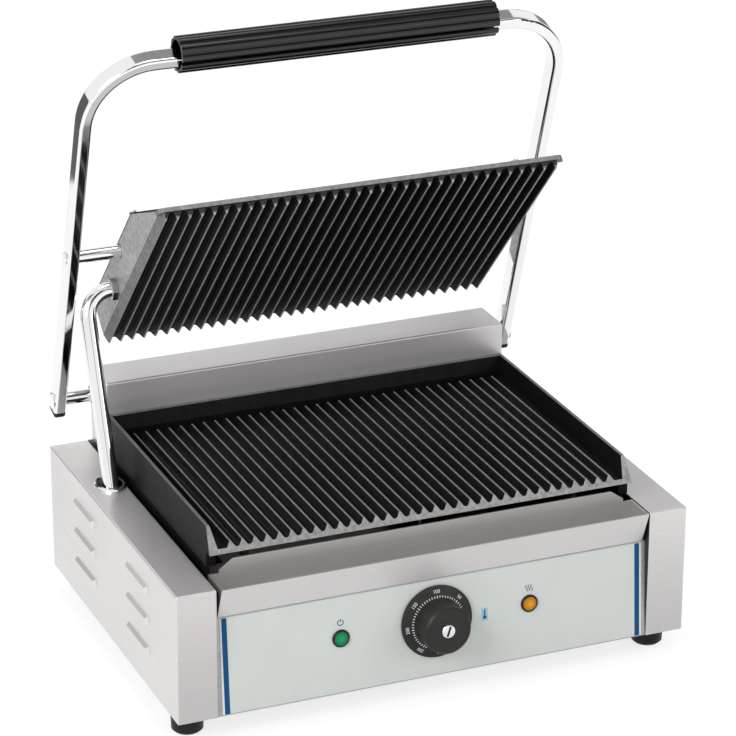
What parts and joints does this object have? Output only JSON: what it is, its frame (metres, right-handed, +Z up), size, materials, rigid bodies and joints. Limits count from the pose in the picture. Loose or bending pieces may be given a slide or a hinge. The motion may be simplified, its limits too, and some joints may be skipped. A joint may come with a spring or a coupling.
{
  "type": "panini press",
  "caption": "Countertop contact grill: a ribbed lid plate tilts on pins between the arms of a bar handle and closes on a ribbed cast plate, over a drip tray and a knob panel.",
  "frame": {"origin": "on the floor, under the middle of the bounding box with the lid open as stored, on the plane midway between the side boxes", "axes": "+X to the right seen from the front, +Y to the back where the hinge is, +Z up"},
  "size_m": [0.4352, 0.3492, 0.5008],
  "materials": {
    "stainless": "brushed, satin",
    "galvanised": "dull zinc",
    "chrome": "polished",
    "iron": "black cast, bare rib tips",
    "black_enamel": "heat-proof black paint",
    "grip": "semi-gloss black",
    "black_plastic": "satin black",
    "knob": "satin dark grey with white marks",
    "bright_disc": "turned",
    "overlay": "printed film, pale green grey with blue stripes",
    "green_lens": "clear green",
    "amber_lens": "clear amber",
    "rubber": "matt black",
    "bush": "oil-darkened bearing bronze",
    "element": "heat-dulled steel",
    "insulation": "mineral wool",
    "screws": "zinc plated"
  },
  "bodies": {
    "base": {"left_side_box": "stainless", "right_side_box": "stainless", "base_plate": "galvanised", "front_panel": "stainless", "control_overlay": "overlay", "rear_panel": "stainless", "hinge_housing": "stainless", "hinge_bush_left": "bush", "hinge_bush_right": "bush", "lower_plate": "iron", "plate_support_left": "black_enamel", "plate_support_right": "black_enamel", "lower_element": "element", "element_clamp": "galvanised", "clamp_bolts": "galvanised", "heat_shield": "galvanised", "thermostat_body": "black_plastic", "thermostat_bulb": "element", "power_lamp_bezel": "black_plastic", "power_lamp_lens": "green_lens", "heat_lamp_bezel": "black_plastic", "heat_lamp_lens": "amber_lens", "conduit_ferrule": "stainless", "terminal_block": "black_plastic", "cord_gland": "black_plastic", "front_left_foot": "rubber", "front_right_foot": "rubber", "rear_left_foot": "rubber", "rear_right_foot": "rubber", "foot_screws": "screws", "housing_screws": "screws"},
    "handle": {"handle_frame": "chrome", "handle_grip": "grip", "hinge_shaft": "chrome", "tilt_pin_left": "chrome", "tilt_pin_right": "chrome", "arm_plug_left": "black_plastic", "arm_plug_right": "black_plastic", "shaft_bolts": "chrome", "pin_bolts": "chrome"},
    "lid": {"upper_plate": "iron", "upper_cover": "black_enamel", "upper_element": "element", "upper_insulation": "insulation", "cover_screws": "screws", "tilt_bush_left": "bush", "tilt_bush_right": "bush", "conduit_tube": "chrome", "conduit_nut": "chrome"},
    "knob": {"temperature_knob": "knob", "knob_disc": "bright_disc", "thermostat_shaft": "element"},
    "tray": {"drip_tray": "stainless"}
  },
  "joints": [
    {"name": "handle_hinge", "type": "hinge", "parent": "base", "child": "handle", "pos_m": [0, 0.14796, 0.1704], "axis": [1, 0, 0], "range_deg": [0, 64.54]},
    {"name": "plate_tilt", "type": "hinge", "parent": "handle", "child": "lid", "pos_m": [0, 0.10051, 0.31059], "axis": [1, 0, 0], "range_deg": [-18.05, 0]},
    {"name": "knob_turn", "type": "hinge", "parent": "base", "child": "knob", "pos_m": [0, -0.14812, 0.06607], "axis": [0, 0.9973, -0.0739], "range_deg": [0, 270]},
    {"name": "tray_slide", "type": "slide", "parent": "base", "child": "tray", "axis": [0, -1, 0], "range_m": [0, 0.06]}
  ],
  "couplings": [
    {"joint": "plate_tilt", "follows": "handle_hinge", "ratio": -0.27952}
  ]
}
